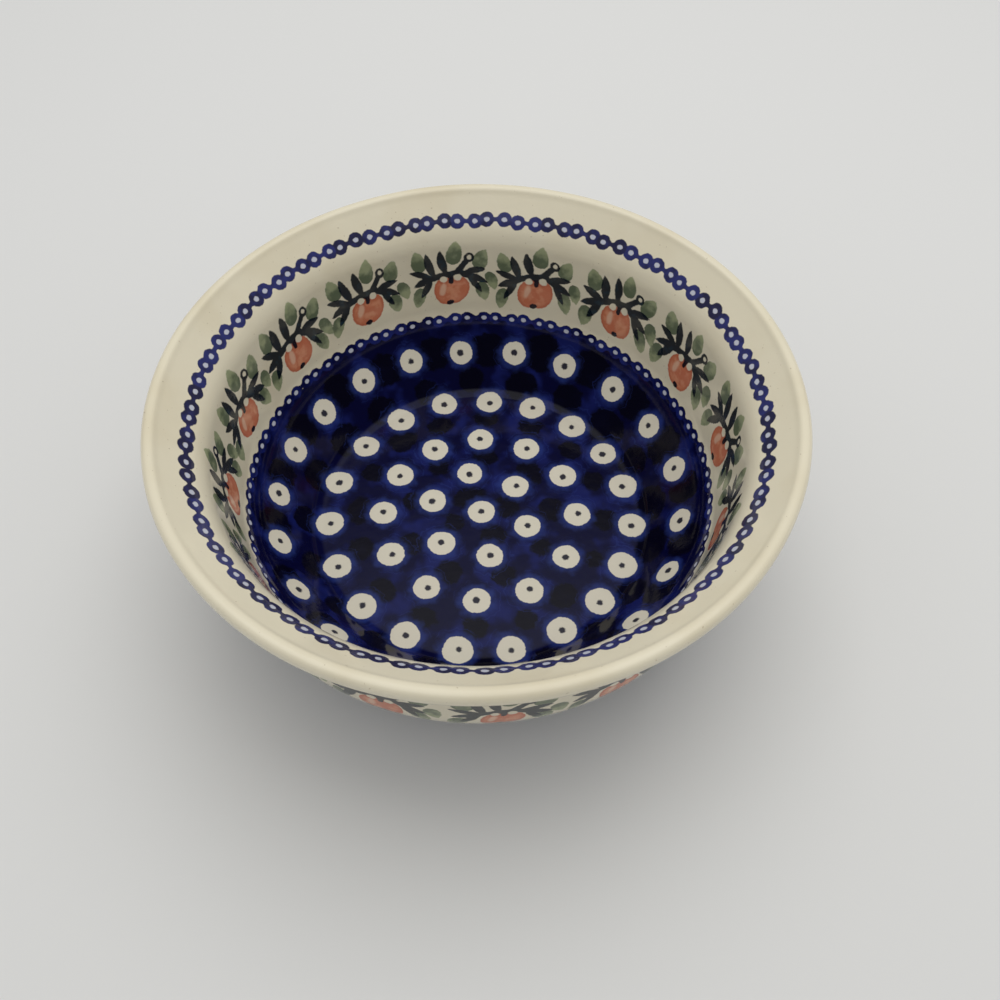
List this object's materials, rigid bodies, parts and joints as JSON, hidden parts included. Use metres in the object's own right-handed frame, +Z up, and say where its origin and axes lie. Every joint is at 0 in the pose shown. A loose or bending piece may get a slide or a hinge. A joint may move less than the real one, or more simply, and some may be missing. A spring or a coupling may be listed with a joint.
{
  "type": "pottery bowl",
  "caption": "Round stoneware bowl with a flared rim, a raised lip and a foot ring, glazed inside and out; holds food.",
  "frame": {"origin": "centre of the foot ring's standing face", "axes": "+Z up along the bowl's axis of turning, from the foot to the lip"},
  "size_m": [0.197, 0.197, 0.0785],
  "materials": {
    "clay": "bare fired stoneware",
    "lining": "glossy cobalt glaze with cream dots",
    "border": "glossy cream glaze with fruit sprigs",
    "rim": "glossy cream glaze with a blue chain line",
    "outside": "glossy glaze, sprigs over a cobalt zone with dots",
    "well": "plain cream glaze"
  },
  "bodies": {
    "root": {"clay_body": "clay", "cobalt_lining": "lining", "border_glaze": "border", "rim_glaze": "rim", "outer_glaze": "outside", "foot_well_glaze": "well"}
  },
  "joints": []
}
